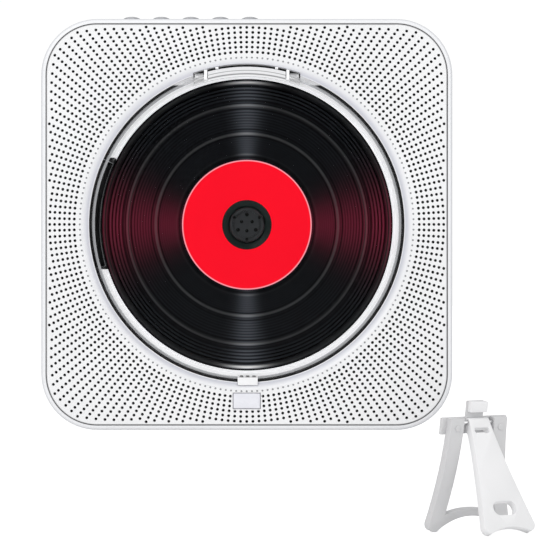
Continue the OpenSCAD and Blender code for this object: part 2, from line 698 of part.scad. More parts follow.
module sled_rack() color("ivory") hung() {
  rack_x = [-3, lens_x + sled_x[1]];
  tooth = PI * gear_m;
  count = floor((rack_x[1] - rack_x[0]) / tooth);
  first = gear_x - tooth * floor((gear_x - rack_x[0]) / tooth) + tooth / 2;
  translate([0, rack_y - rack_h, rack_z]) linear_extrude(gear_t) {
    translate([rack_x[0], 1.1 * gear_m]) square([rack_x[1] - rack_x[0], rack_h - 1.1 * gear_m]);
    for (i = [0:count - 1]) let (x = first + i * tooth)
      polygon([[x - 0.34 * tooth, 1.1 * gear_m + 0.01], [x - 0.23 * tooth, 0], [x - 0.11 * tooth, -0.8 * gear_m],
               [x + 0.11 * tooth, -0.8 * gear_m], [x + 0.23 * tooth, 0], [x + 0.34 * tooth, 1.1 * gear_m + 0.01]]);
  }
}

module pickup_sled() color("#30343a") hung() translate([lens_x, 0, 0]) difference() {
  union() {
    translate([sled_x[0], -rod_y + 2.2, sled_z]) cube([sled_x[1] - sled_x[0], 2 * rod_y - 4.4, 3.4]);
    translate([sled_x[0], rod_y, rod_z]) rotate([0, 90, 0]) cylinder(r = 2.8, h = sled_x[1] - sled_x[0], $fn = small_fn);
    translate([sled_x[0] + 4, rack_y, sled_z]) cube([8, 6, 4]);
    translate([-4, -7.5, sled_z + 3]) cube([8, 15, chassis_z - sled_z - 3.4]);
  }
  translate([sled_x[0] - 1, rod_y, rod_z]) rotate([0, 90, 0])
    cylinder(r = rod_r + running, h = sled_x[1] - sled_x[0] + 2, $fn = small_fn);
  translate([sled_x[0] - 1, -rod_y - 2.4, rod_z - rod_r - running]) cube([30, 4.2, 2 * (rod_r + running)]);
  translate([5, -8, sled_z - 1]) cube([4, 16, 2.4]);
}

module lens_holder() color("#1c1f22") hung() translate([lens_x, 0, 0]) difference() {
  union() {
    translate([-3.2, -6.5, chassis_z + 0.1]) cube([6.4, 13, well_z - chassis_z - 0.1]);
    rod(3, well_z - 0.1, 0.9);
  }
  rod(lens_r + 0.15, well_z - 1.2, 4);
}

module lens() color("lightblue", 0.6) hung() translate([lens_x, 0, 0]) difference() {
  rod(lens_r, well_z - 0.6, 1.6);
  translate([0, 0, well_z + 6.6]) sphere(r = 6, $fn = small_fn);
}

// ---- boards ----

module main_board() color("darkgreen") hung() plate(board_z, board_t) difference() {
  translate([-board_x, board_y[0]]) square([2 * board_x, board_y[1] - board_y[0]]);
  for (x = [-board_x + 6, board_x - 6], y = [board_y[0] + 4, board_y[1] - 4]) translate([x, y]) circle(r = 1.4, $fn = small_fn);
}

module board_parts() color("#202020") hung() translate([0, board_mid, board_z + board_t]) {
  for (c = [[-6, 0, 9, 9, 1.2], [14, 2, 7, 5, 1.4], [30, -2, 10, 7, 1.2], [-24, 4, 6, 8, 1.4]])
    translate([c[0], c[1], 0]) cube([c[2], c[3], c[4]]);
  for (x = [44, 52]) translate([x, 4, 0]) cylinder(r = 3.2, h = 7, $fn = small_fn);
  translate([2, 9, 0]) cube([14, 3.6, 4.6]);
}

module jack(x, r) {
  translate([x, jack_y, jack_z]) difference() {
    translate([-jack_w / 2, 0, -4]) cube([jack_w, 12, 8]);
    rotate([-90, 0, 0]) translate([0, 0, -1]) cylinder(r = r, h = 11, $fn = small_fn);
  }
}

module power_jack() color("#202020") hung() {
  jack(power_x, power_jack_r);
  translate([power_x, jack_y + 1.8, jack_z]) rotate([-90, 0, 0]) cylinder(r = 1, h = 9, $fn = small_fn);
}

module audio_jack() color("#202020") hung() jack(audio_x, audio_jack_r);

module power_switch() color("silver") hung() translate([switch_x - 5, jack_y, jack_z - 4]) difference() {
  cube([10, 6, 8]);
  translate([1, -1, 2.4]) cube([8, 4, 3.2]);
}

module switch_knob() color("#202020") hung() translate([switch_x - 3.5, -body_w / 2 - 0.8, jack_z - 1.4])
  cube([4, wall + 4.5, 2.8]);

module key_board() color("darkgreen") hung()
  translate([key_x - 11, key_board_y, key_z - 6]) cube([(key_count - 1) * key_pitch + 22, board_t, 12]);

module tact_switches() color("#202020") hung()
  key_row() translate([0, key_board_y + board_t, key_z]) rotate([-90, 0, 0]) difference() {
    union() {
      translate([-3, -3, 0]) cube([6, 6, 3.2]);
      cylinder(r = 2.7, h = switch_h, $fn = small_fn);
    }
    translate([0, 0, 2]) cylinder(r = key_stem_r + gap, h = switch_h, $fn = small_fn);
  }

// ---- speakers ----

speaker_z = baffle_z;
speaker_xy = body_w / 2 - speaker_inset - speaker_r;
speaker_pilot_r = 0.9;
speaker_ear_a = [30, 240];

module speaker_ears(s) {
  for (a = speaker_ear_a)
    translate([s * speaker_xy, -speaker_xy, 0]) rotate(90 - s * a) translate([speaker_r + 1.9, 0, 0]) children();
}

module speaker(s) color("#303030") hung() difference() {
  union() {
    speaker_ears(s) rod(3, speaker_z - 1.2, 1.2);
    translate([s * speaker_xy, -speaker_xy, 0]) speaker_basket();
  }
  speaker_ears(s) rod(speaker_pilot_r, speaker_z - 2, 3);
}

module speaker_basket() difference() {
  union() {
    rotate_extrude($fn = 64) polygon([[speaker_r - 2.4, speaker_z], [speaker_r, speaker_z], [speaker_r, speaker_z - 1.2],
      [speaker_r - 1.6, speaker_z - 1.2], [8.5, speaker_z - 8], [8.5, speaker_z - 10], [0, speaker_z - 10],
      [0, speaker_z - 8.8], [7.4, speaker_z - 8.8], [speaker_r - 2.4, speaker_z - 1]]);
    rod(10, speaker_z - 15.5, 5.6);
  }
  for (a = [30:60:330]) rotate(a) translate([12, 0]) rod(2, speaker_z - 9, 6.4);
}
module left_speaker() speaker(-1);
module right_speaker() speaker(1);

module cone(s) color("#505050") hung() translate([s * speaker_xy, -speaker_xy, 0])
  rotate_extrude($fn = 64) polygon([[0, speaker_z - 6.5], [5, speaker_z - 7], [speaker_r - 4.2, speaker_z - 1.2],
    [speaker_r - 2.6, speaker_z - 0.6], [speaker_r - 2.6, speaker_z], [speaker_r - 4, speaker_z],
    [5, speaker_z - 5.6], [0, speaker_z - 4.6]]);
module left_cone() cone(-1);
module right_cone() cone(1);

module speaker_screws() color("silver") hung()
  for (s = [-1, 1]) speaker_ears(s) translate([0, 0, speaker_z - 2.4]) pan_screw(2.4, 1.2, 0.8, 2.4);

// ---- keys ----

module key(i) color("#9a9aa0") hung() translate([key_x + i * key_pitch, 0, key_z]) {
  top = body_w / 2 + key_h;
  stop = body_w / 2 - wall - 0.1;
  intersection() {
    translate([0, stop - 1.2, 0]) rotate([-90, 0, 0]) linear_extrude(top - stop + 1.2) obround(key_w, key_d);
    translate([0, top - 9, -10]) cylinder(r = 9, h = 20, $fn = 96);
  }
  translate([-key_w / 2 - 0.8, stop - 1.2, -key_d / 2 - 0.8]) cube([key_w + 1.6, 1.2, key_d + 1.6]);
  stem = key_board_y + board_t + switch_h - 0.7;
  translate([0, stem, 0]) rotate([-90, 0, 0]) cylinder(r = key_stem_r, h = stop - 1.1 - stem, $fn = small_fn);
}
module key_1() key(0);
module key_2() key(1);
module key_3() key(2);
module key_4() key(3);
module key_5() key(4);

module open_button() color("white") hung() difference() {
  union() {
    translate([-open_size[0] / 2, open_y - open_size[1] / 2, baffle_z - 1.3])
      cube([open_size[0], open_size[1], body_d + 0.3 - baffle_z + 1.3]);
    translate([-open_size[0] / 2 - 1.2, open_y - open_size[1] / 2 - 1, baffle_z - 1.3])
      cube([open_size[0] + 2.4, open_size[1] + 2, 1.2]);
    translate([-2, 0, 0]) across(0, 4)
      polygon([[open_y - 1, baffle_z - 1], [open_y - 1, baffle_z - 2.4], [open_y + 1.5, baffle_z - 4.9], [open_y + 1.5, baffle_z - 1]]);
  }
  translate([0, open_y, body_d + 30.1]) rotate([90, 0, 0]) cylinder(r = 30, h = 20, center = true, $fn = 128);
}

module latch_slider() color("gainsboro") hung() {
  stem_y = nose_y - open_travel - 0.9;
  translate([-4.5, open_y - 4, latch_z]) cube([9, stem_y + 0.9 - open_y + 4, 1.8]);
  translate([-catch_w / 2, 0, 0]) across(0, catch_w)
    polygon([[open_y - 3.3, latch_z + 1.7], [open_y - 3.3, baffle_z - 2.6], [open_y - 1.35, baffle_z - 2.6],
             [open_y + 2.9, baffle_z - 6.85], [open_y + 2.9, latch_z + 1.7]]);
  // stem, and nose that leans over the lid's hook
  translate([-catch_w / 2, stem_y, latch_z]) cube([catch_w, 0.9, nose_z - latch_z + 1.4]);
  translate([-catch_w / 2, stem_y, nose_z]) cube([catch_w, nose_y - stem_y, 1.4]);
}

// ---- stand ----

module standing() translate([stand_at[0], -stand_at[1], ground]) rotate([0, 0, stand_turn]) children();

// Places a front view drawing, whose top is at the hinge, on a leaf that leans by an angle
module leaf(lean, z0, t) translate([0, 0, hinge_height]) rotate([90 - lean, 0, 0])
  translate([0, 0, z0]) linear_extrude(t) children();

function leaf_length(lean) = (hinge_height - stand_t / 2 * sin(abs(lean))) / cos(lean);

// Half width of a leaf that flares from its top to its feet, at a share of its length from the top
function flare(top, foot, bend, share) = (top + (foot - top) * pow(share, bend)) / 2;

module mirrored_outline(side) {
  n = len(side);
  polygon(concat(side, [for (i = [1:n]) [-side[n - i][0], side[n - i][1]]]));
}

module flared(length, top, foot, bend, foot_r) {
  mirrored_outline(concat(
    [for (i = [0:8]) let (u = i / 8) [flare(top, foot, bend, u), -u * (length - foot_r)]],
    arc([foot / 2 - foot_r, foot_r - length], foot_r, -15, -90, 5)));
}

module foot_arch(length, span, rise) {
  r = (span * span / 4 + rise * rise) / (2 * rise);
  translate([0, -length + rise - r]) circle(r = r, $fn = round_fn);
}

module stand_frame() color("#c4c4c6") standing() difference() {
  leaf(-stand_lean[0], -stand_t / 2, stand_t) {
    length = leaf_length(stand_lean[0]) + hinge_r;
    translate([0, hinge_r]) difference() {
      flared(length, stand_top_w, stand_w, 1.9, 3.2);
      difference() {
        mirrored_outline([for (i = [0:8]) let (u = i / 8)
          [flare(stand_top_w, stand_w, 1.9, u) - stand_side_w, 0.1 - u * (length - 3)]]);
        foot_arch(length, 1.25 * stand_w, stand_bar_y + stand_bar_t);
      }
      foot_arch(length, stand_w - 8, stand_bar_y);
    }
  }
  translate([-stand_pin_len / 2, 0, hinge_height]) rotate([0, 90, 0])
    cylinder(r = hinge_pin_r, h = stand_pin_len, $fn = small_fn);
}

module stand_back_plate() color("#b9b9bc") standing()
  leaf(-stand_lean[0], -stand_t / 2 - stand_plate_t, stand_plate_t) {
    translate([-stand_top_w / 2 - 2.4, -stand_plate_h + hinge_r]) square([stand_top_w + 4.8, stand_plate_h]);
    translate([-hook_w / 2, 0]) square([hook_w, hinge_r + hook_h]);
  }

module stand_rivets() color("#cfcfd1") standing() leaf(-stand_lean[0], stand_t / 2, 0.5)
  for (s = [-1, 1]) translate([s * (stand_top_w / 2 - stand_side_w / 2), -2]) circle(r = 1.3, $fn = small_fn);

module stand_leg() color("white") standing() difference() {
  union() {
    leaf(stand_lean[1], -stand_t / 2, stand_t) {
      length = leaf_length(stand_lean[1]);
      difference() {
        flared(length, leg_top_w, leg_foot_w, 1.35, 3);
        foot_arch(length, leg_foot_w - 6, 2.2);
        translate([0, -length + 10]) obround(11.5, 5.6);
        translate([0, -4.2]) obround(7.6, 2.3);
      }
    }
    translate([-leg_top_w / 2, 0, hinge_height]) rotate([0, 90, 0])
      cylinder(r = stand_t / 2, h = leg_top_w, $fn = small_fn);
  }
  translate([-leg_top_w, 0, hinge_height]) rotate([0, 90, 0])
    cylinder(r = hinge_pin_r + running, h = 2 * leg_top_w, $fn = small_fn);
}

module stand_hook() color("white") standing() leaf(-stand_lean[0], -stand_t / 2, 2.4)
  translate([-hook_w / 2, hinge_r + hook_h - 4.3]) square([hook_w, 4.3]);

module stand_pin() color("silver") standing()
  translate([-stand_pin_len / 2, 0, hinge_height]) rotate([0, 90, 0])
    cylinder(r = hinge_pin_r, h = stand_pin_len, $fn = small_fn);

rear_cover();
case_screws();
front_case();
grille_panel();
dust_cloth();
disc_bay();
bay_screws();
finger_well();
lid();
pull_tab();
hinge_pin_left();
hinge_pin_right();
mech_chassis();
mech_dampers();
mech_screws();
upper_rod();
lower_rod();
spindle_motor();
spindle_shaft();
spindle_hub();
hub_claws();
disc();
disc_label();
sled_motor();
motor_pinion();
gear_post();
drive_gear();
pickup_sled();
sled_rack();
lens_holder();
lens();
main_board();
board_parts();
power_jack();
audio_jack();
power_switch();
switch_knob();
key_board();
tact_switches();
left_speaker();
left_cone();
right_speaker();
right_cone();
speaker_screws();
key_1();
key_2();
key_3();
key_4();
key_5();
open_button();
latch_slider();
stand_frame();
stand_back_plate();
stand_rivets();
stand_leg();
stand_hook();
stand_pin();
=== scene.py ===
import math
import bpy
import bmesh
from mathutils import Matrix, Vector
from mathutils.geometry import delaunay_2d_cdt


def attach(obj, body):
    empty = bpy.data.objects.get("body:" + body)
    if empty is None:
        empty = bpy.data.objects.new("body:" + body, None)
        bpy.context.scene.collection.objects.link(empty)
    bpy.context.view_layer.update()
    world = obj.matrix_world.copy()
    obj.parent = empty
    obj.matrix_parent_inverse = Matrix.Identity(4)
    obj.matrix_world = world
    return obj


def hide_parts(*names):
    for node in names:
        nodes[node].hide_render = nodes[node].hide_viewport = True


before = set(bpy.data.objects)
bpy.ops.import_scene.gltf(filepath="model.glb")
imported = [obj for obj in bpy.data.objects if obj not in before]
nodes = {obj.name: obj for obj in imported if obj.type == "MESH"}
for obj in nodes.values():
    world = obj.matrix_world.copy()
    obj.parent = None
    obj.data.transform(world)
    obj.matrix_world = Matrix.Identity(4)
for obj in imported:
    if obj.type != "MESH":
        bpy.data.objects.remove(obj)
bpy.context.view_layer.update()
mm = 0.001  # the drawings below are in millimetres, seen from the front, and 'out' is out of the wall
print("frame loaded:", len(nodes), "nodes")


def fromFront(x, up, out):
    return Vector((x * mm, -out * mm, up * mm))


def onCircle(radius, turn):
    return radius * math.cos(turn), radius * math.sin(turn)


def smoothTo(data, sharp):
    # smooth faces, with a crease where they meet at more than 'sharp' degrees
    data.set_sharp_from_angle(angle=math.radians(sharp))
    data.polygons.foreach_set("use_smooth", [True] * len(data.polygons))


def pieceFrom(name, mesh, sharp=None):
    data = bpy.data.meshes.new(name)
    mesh.to_mesh(data)
    mesh.free()
    if sharp:
        smoothTo(data, sharp)
    piece = bpy.data.objects.new(name, data)
    bpy.context.scene.collection.objects.link(piece)
    return piece


def addNode(tree, kind, **settings):
    node = tree.nodes.new(kind)
    for key, value in settings.items():
        setattr(node, key, value)
    return node


def feed(tree, socket, value):
    if isinstance(value, (int, float)):
        socket.default_value = value
    elif isinstance(value, tuple):
        socket.default_value = (*value, 1)
    elif value is not None:
        tree.links.new(value, socket)


def mathNode(tree, operation, first, second=None, third=None, clamp=False):
    node = addNode(tree, "ShaderNodeMath", operation=operation, use_clamp=clamp)
    for socket, value in zip(node.inputs, (first, second, third)):
        feed(tree, socket, value)
    return node.outputs[0]


def times(tree, first, *others):
    for other in others:
        first = mathNode(tree, "MULTIPLY", first, other)
    return first


def minus(tree, first, second):
    return mathNode(tree, "SUBTRACT", first, second)


def larger(tree, first, second):
    return mathNode(tree, "MAXIMUM", first, second)


def sizeOf(tree, value):
    return mathNode(tree, "ABSOLUTE", value)


def distanceOf(tree, across, up):
    squares = mathNode(tree, "ADD", times(tree, across, across), times(tree, up, up))
    return mathNode(tree, "SQRT", squares)


def placeOf(tree):
    # where a point lies on the object: across, up, out of the wall, and away from the disc's middle
    place = addNode(tree, "ShaderNodeTexCoord")
    parts = addNode(tree, "ShaderNodeSeparateXYZ")
    tree.links.new(place.outputs["Object"], parts.inputs[0])
    x, up = parts.outputs["X"], parts.outputs["Z"]
    return x, up, times(tree, parts.outputs["Y"], -1.0), distanceOf(tree, x, up)


def noiseFor(tree, scale, detail):
    place = addNode(tree, "ShaderNodeTexCoord")
    noise = addNode(tree, "ShaderNodeTexNoise")
    noise.inputs["Scale"].default_value = scale
    noise.inputs["Detail"].default_value = detail
    tree.links.new(place.outputs["Object"], noise.inputs["Vector"])
    return noise.outputs["Fac"]


def shaded(colour, share):
    return tuple(min(1, c * share) for c in colour)


def cloudColour(tree, cloud, low, high):
    ramp = addNode(tree, "ShaderNodeValToRGB")
    for element, place, colour in zip(ramp.color_ramp.elements, (0.3, 0.7), (low, high)):
        element.position = place
        element.color = (*colour, 1)
    tree.links.new(cloud, ramp.inputs["Fac"])
    return ramp.outputs["Color"]


def greyFrom(tree, value):
    grey = addNode(tree, "ShaderNodeCombineColor")
    for socket in grey.inputs:
        tree.links.new(value, socket)
    return grey.outputs[0]


def mixColour(tree, fac, first, second, blend="MIX"):
    mix = addNode(tree, "ShaderNodeMix", data_type="RGBA", blend_type=blend)
    for socket, value in ((mix.inputs["Factor"], fac), (mix.inputs[6], first), (mix.inputs[7], second)):
        feed(tree, socket, value)
    return mix.outputs[2]


def fadeFor(tree, value, start, end):
    # from 0 at the start to 1 at the end, which may be the lower of the two
    fade = addNode(tree, "ShaderNodeMapRange", interpolation_type="SMOOTHSTEP")
    fade.inputs["From Min"].default_value = start * mm
    fade.inputs["From Max"].default_value = end * mm
    tree.links.new(value, fade.inputs["Value"])
    return fade.outputs["Result"]


def beyond(tree, value, place, soft=0.1):
    return fadeFor(tree, value, place - soft, place + soft)


def under(tree, value, place, soft=0.1):
    return fadeFor(tree, value, place + soft, place - soft)


def ringWeight(tree, radius, place, width):
    off = sizeOf(tree, minus(tree, radius, place * mm))
    return mathNode(tree, "SUBTRACT", 1.0, mathNode(tree, "DIVIDE", off, width * mm), clamp=True)


def addBump(tree, shader, height, strength, depth):
    bump = addNode(tree, "ShaderNodeBump")
    bump.inputs["Strength"].default_value = strength
    bump.inputs["Distance"].default_value = depth * mm
    tree.links.new(height, bump.inputs["Height"])
    tree.links.new(bump.outputs["Normal"], shader.inputs["Normal"])


def newFinish(name, colour, rough, metal=0.0, specular=0.5):
    finish = bpy.data.materials.new(name)
    finish.use_nodes = True
    shader = finish.node_tree.nodes["Principled BSDF"]
    shader.inputs["Base Color"].default_value = (*colour, 1)
    shader.inputs["Roughness"].default_value = rough
    shader.inputs["Metallic"].default_value = metal
    shader.inputs["Specular IOR Level"].default_value = specular
    return finish, finish.node_tree, shader


def paintOver(finish, fac, colour):
    tree = finish.node_tree
    base = tree.nodes["Principled BSDF"].inputs["Base Color"]
    tree.links.new(mixColour(tree, fac, base.links[0].from_socket, colour), base)


# what all pieces of one kind share: noise scales, how far the roughness and colour vary, and the bump
moulding = dict(cloud=22, cloudDetail=3, grainDetail=2, roughSpread=0.10, grainDepth=0.04)
plating = dict(lineScale=300, shade=0.86, roughSpread=0.2, strength=0.08, depth=0.05)
casting = dict(cloud=60, cloudDetail=1, shade=0.9, strength=0.03, depth=0.2)


def mouldedPlastic(name, colour, rough, grain, grainScale=2600, shift=0.03, specular=0.5):
    finish, tree, shader = newFinish(name, colour, rough, specular=specular)
    cloud = noiseFor(tree, moulding["cloud"], moulding["cloudDetail"])
    clouded = cloudColour(tree, cloud, shaded(colour, 1 - shift), shaded(colour, 1 + shift / 2))
    tree.links.new(clouded, shader.inputs["Base Color"])
    fine = noiseFor(tree, grainScale, moulding["grainDetail"])
    spread = moulding["roughSpread"]
    tree.links.new(mathNode(tree, "MULTIPLY_ADD", fine, spread, rough - spread / 2), shader.inputs["Roughness"])
    addBump(tree, shader, fine, grain, moulding["grainDepth"])
    return finish


def metalFinish(name, colour, rough, lines):
    finish, tree, shader = newFinish(name, colour, rough, metal=1.0)
    place = addNode(tree, "ShaderNodeTexCoord")
    stretch = addNode(tree, "ShaderNodeMapping")
    stretch.inputs["Scale"].default_value = lines
    noise = addNode(tree, "ShaderNodeTexNoise")
    noise.inputs["Scale"].default_value = plating["lineScale"]
    tree.links.new(place.outputs["Object"], stretch.inputs["Vector"])
    tree.links.new(stretch.outputs["Vector"], noise.inputs["Vector"])
    brushed = noise.outputs["Fac"]
    tree.links.new(cloudColour(tree, brushed, shaded(colour, plating["shade"]), colour), shader.inputs["Base Color"])
    spread = plating["roughSpread"]
    tree.links.new(mathNode(tree, "MULTIPLY_ADD", brushed, spread, rough - spread / 2), shader.inputs["Roughness"])
    addBump(tree, shader, brushed, plating["strength"], plating["depth"])
    return finish


def clearPlastic(name, colour, rough, face, edge, blend):
    # clear where it faces the eye, and tinted where it turns away
    finish, tree, shader = newFinish(name, colour, rough)
    turned = addNode(tree, "ShaderNodeLayerWeight")
    turned.inputs["Blend"].default_value = blend
    flat = addNode(tree, "ShaderNodeNewGeometry")
    tree.links.new(flat.outputs["True Normal"], turned.inputs["Normal"])
    seen = mathNode(tree, "MULTIPLY_ADD", turned.outputs["Facing"], edge - face, face)
    tree.links.new(seen, shader.inputs["Alpha"])
    cloud = noiseFor(tree, casting["cloud"], casting["cloudDetail"])
    tree.links.new(cloudColour(tree, cloud, shaded(colour, casting["shade"]), colour), shader.inputs["Base Color"])
    addBump(tree, shader, cloud, casting["strength"], casting["depth"])
    return finish


plastics = dict(
    caseFront=dict(colour=(0.88, 0.888, 0.91), rough=0.38, grain=0.15),
    caseWhite=dict(colour=(0.88, 0.888, 0.91), rough=0.38, grain=0.15),
    grilleWhite=dict(colour=(0.895, 0.90, 0.91), rough=0.42, grain=0.15),
    grilleDimpleShade=dict(colour=(0.40, 0.405, 0.42), rough=0.6, grain=0.15),
    clothBlack=dict(colour=(0.006, 0.006, 0.0065), rough=0.9, grain=0.8, grainScale=1600, shift=0.3),
    bayPaintedShade=dict(colour=(0.92, 0.925, 0.94), rough=0.3, grain=0.1),
    bayPale=dict(colour=(0.88, 0.885, 0.91), rough=0.32, grain=0.1),
    tabWhite=dict(colour=(0.93, 0.935, 0.95), rough=0.3, grain=0.05),
    buttonWhite=dict(colour=(0.84, 0.845, 0.90), rough=0.22, grain=0.05),
    keyGrey=dict(colour=(0.36, 0.365, 0.385), rough=0.24, grain=0.08),
    blackMoulding=dict(colour=(0.012, 0.012, 0.013), rough=0.35, grain=0.2),
    hubDark=dict(colour=(0.027, 0.029, 0.031), rough=0.4, grain=0.15, specular=0.08),
    ivoryGear=dict(colour=(0.74, 0.70, 0.56), rough=0.35, grain=0.1),
    dampRubber=dict(colour=(0.03, 0.03, 0.03), rough=0.75, grain=0.4),
    boardGreen=dict(colour=(0.012, 0.11, 0.035), rough=0.3, grain=0.1),
    blackParts=dict(colour=(0.02, 0.02, 0.021), rough=0.45, grain=0.3),
    basketBlack=dict(colour=(0.018, 0.018, 0.019), rough=0.5, grain=0.3),
    coneGrey=dict(colour=(0.075, 0.073, 0.07), rough=0.8, grain=0.6, grainScale=900),
    standWhite=dict(colour=(0.88, 0.88, 0.89), rough=0.36, grain=0.15),
    standShadeGrey=dict(colour=(0.66, 0.66, 0.67), rough=0.4, grain=0.2),
    cardBlack=dict(colour=(0.004, 0.004, 0.004), rough=0.9, grain=0.25),
)
metals = dict(  # 'lines' stretches the brushing along one axis
    brightSteel=dict(colour=(0.72, 0.72, 0.73), rough=0.2, lines=(1, 1, 40)),
    zincScrew=dict(colour=(0.62, 0.62, 0.6), rough=0.32, lines=(1, 1, 1)),
    pressedSteel=dict(colour=(0.6, 0.61, 0.62), rough=0.38, lines=(30, 1, 1)),
)
clears = dict(  # 'face' and 'edge' say how much of the plastic itself shows
    clearLid=dict(colour=(0.36, 0.37, 0.39), rough=0.06, face=0.0, edge=0.22, blend=0.08),
    clearLens=dict(colour=(0.35, 0.5, 0.75), rough=0.04, face=0.3, edge=0.9, blend=0.35),
)
finishes = {name: mouldedPlastic(name, **look) for name, look in plastics.items()}
finishes.update({name: metalFinish(name, **look) for name, look in metals.items()})
finishes.update({name: clearPlastic(name, **look) for name, look in clears.items()})


# painted shade on the case's front and the panel in it: the dish, the groove and the rounded edge; each pair of
# numbers is where a shade starts and where it is full
casePaintedShade = dict(
    panelSide=82.0, panelCorner=21.0,  # the rounded square that the panel sits in
    dish=(0.60, 0.61, 0.67), dishInner=(64.6, 64.9), dishOuter=(67.2, 64.9), dishOut=(33.0, 33.5),
    groove=(0.40, 0.40, 0.41),
    caseGroove=((-1.2, -1.0), (0.25, 0.0), (36.4, 36.0)), panelGroove=((-0.7, -0.45), (0.2, 0.1), (33.0, 33.2)),
    edge=(0.66, 0.67, 0.70), edgePast=(0.9, 2.0), edgeOut=(30.0, 34.5),
)


def pastPanel(tree, x, up):
    # how far a point lies outside the rounded square
    corner = casePaintedShade["panelCorner"]
    flat = (casePaintedShade["panelSide"] - corner) * mm
    over = [larger(tree, minus(tree, sizeOf(tree, along), flat), 0.0) for along in (x, up)]
    return minus(tree, distanceOf(tree, *over), corner * mm)


# painted shade: the sloping dish round the bay is painted darker and bluer
def paintDishShade(finish):
    tree = finish.node_tree
    _, _, out, radius = placeOf(tree)
    within = times(tree, fadeFor(tree, radius, *casePaintedShade["dishInner"]),
                   fadeFor(tree, radius, *casePaintedShade["dishOuter"]), fadeFor(tree, out, *casePaintedShade["dishOut"]))
    paintOver(finish, within, casePaintedShade["dish"])


def shadeGroove(finish, start, stop, deep):
    # shade in the thin groove between the panel and the rim
    tree = finish.node_tree
    x, up, out, _ = placeOf(tree)
    past = pastPanel(tree, x, up)
    within = times(tree, fadeFor(tree, past, *start), fadeFor(tree, past, *stop), fadeFor(tree, out, *deep))
    paintOver(finish, within, casePaintedShade["groove"])


def shadeEdge(finish):
    # the rounded outer edge turns away from the light
    tree = finish.node_tree
    x, up, out, _ = placeOf(tree)
    turned = times(tree, fadeFor(tree, pastPanel(tree, x, up), *casePaintedShade["edgePast"]),
                   fadeFor(tree, out, *casePaintedShade["edgeOut"]))
    paintOver(finish, turned, casePaintedShade["edge"])


paintDishShade(finishes["caseFront"])
shadeEdge(finishes["caseFront"])
shadeGroove(finishes["caseFront"], *casePaintedShade["caseGroove"])
shadeGroove(finishes["grilleWhite"], *casePaintedShade["panelGroove"])


bayShadeAndGlow = dict(
    black=(0.010, 0.010, 0.011), blackFrom=62.5,
    notchLeft=-54.0, notchLow=-18.3, notchHigh=27.5,  # the painted shade also covers the bay beside the finger well
    lugsAbove=57.1, lugsOut=29.25, lugsSoft=0.05,  # the hinge's lugs stay pale
    gapEdge=60.9, gapGlow=0.40, ledgeGlow=0.13,
)


# painted shade: the bay is painted black beyond 62.5 mm, in the gap round the lid and the hinge slot, except on the
# hinge's lugs
def shadeBay(finish):
    tree = finish.node_tree
    x, up, out, radius = placeOf(tree)
    lugs = times(tree, beyond(tree, up, bayShadeAndGlow["lugsAbove"]),
                 beyond(tree, out, bayShadeAndGlow["lugsOut"], bayShadeAndGlow["lugsSoft"]))
    notch = times(tree, under(tree, x, bayShadeAndGlow["notchLeft"]), beyond(tree, up, bayShadeAndGlow["notchLow"]),
                  under(tree, up, bayShadeAndGlow["notchHigh"]))
    outer = larger(tree, beyond(tree, radius, bayShadeAndGlow["blackFrom"]), notch)
    paintOver(finish, times(tree, outer, minus(tree, 1.0, lugs)), bayShadeAndGlow["black"])
    # painted light: the bay glows a little all over and more in the narrow gap round the disc, though it is no lamp
    shader = tree.nodes["Principled BSDF"]
    tree.links.new(shader.inputs["Base Color"].links[0].from_socket, shader.inputs["Emission Color"])
    inGap = under(tree, radius, bayShadeAndGlow["gapEdge"])
    paintedGlow = mathNode(tree, "MULTIPLY_ADD", inGap, bayShadeAndGlow["gapGlow"], bayShadeAndGlow["ledgeGlow"])
    tree.links.new(paintedGlow, shader.inputs["Emission Strength"])


shadeBay(finishes["bayPaintedShade"])


openButton = dict(halfWide=5.5, halfHigh=3.15, up=-72.0, joint=(0.50, 0.50, 0.55), jointStart=(-0.3, -0.05),
                  jointStop=(0.3, 0.15))


def shadeJoint(finish):
    # thin shade in the joint round the open button
    tree = finish.node_tree
    x, up, _, _ = placeOf(tree)
    pastSide = minus(tree, sizeOf(tree, x), openButton["halfWide"] * mm)
    pastTop = minus(tree, sizeOf(tree, minus(tree, up, openButton["up"] * mm)), openButton["halfHigh"] * mm)
    past = larger(tree, pastSide, pastTop)
    joint = times(tree, fadeFor(tree, past, *openButton["jointStart"]),
                  fadeFor(tree, past, *openButton["jointStop"]))
    paintOver(finish, joint, openButton["joint"])


shadeJoint(finishes["grilleWhite"])
shadeJoint(finishes["buttonWhite"])


tab = dict(middle=0.4, out=35.7, stripAbove=-62.6, strip=(0.75, 0.75, 0.76), slotsAbove=-62.1, slotPitch=2.56,
           slotShare=0.3, slotSharpness=4.0, slot=(0.05, 0.05, 0.05), soft=0.05)


def shadeTab(finish):
    # painted shade on the lower strip at the lid's side and in the three slots in it
    tree = finish.node_tree
    x, up, out, _ = placeOf(tree)
    low = under(tree, out, tab["out"], tab["soft"])
    paintOver(finish, times(tree, beyond(tree, up, tab["stripAbove"], tab["soft"]), low), tab["strip"])
    turns = times(tree, minus(tree, x, tab["middle"] * mm), 2 * math.pi / (tab["slotPitch"] * mm))
    wave = mathNode(tree, "COSINE", turns)
    slots = mathNode(tree, "MULTIPLY_ADD", wave, tab["slotSharpness"], tab["slotShare"], clamp=True)
    paintOver(finish, times(tree, beyond(tree, up, tab["slotsAbove"], tab["soft"]), slots, low), tab["slot"])


shadeTab(finishes["tabWhite"])


lidPaintedLight = dict(
    rimFrom=62.05, rimTo=63.15, rimShow=0.45, rim=(0.55, 0.56, 0.58),
    barFrom=60.4, barAbove=57.0, barHalf=17.2, barShow=0.85, bar=(0.93, 0.935, 0.95),
    earHalf=21.6, earShow=0.3,  # the bar's thinner ends
    barLines=[(61.5, 0.45), (62.9, 0.2)], barLine=(0.20, 0.20, 0.21),  # radius, half width
)


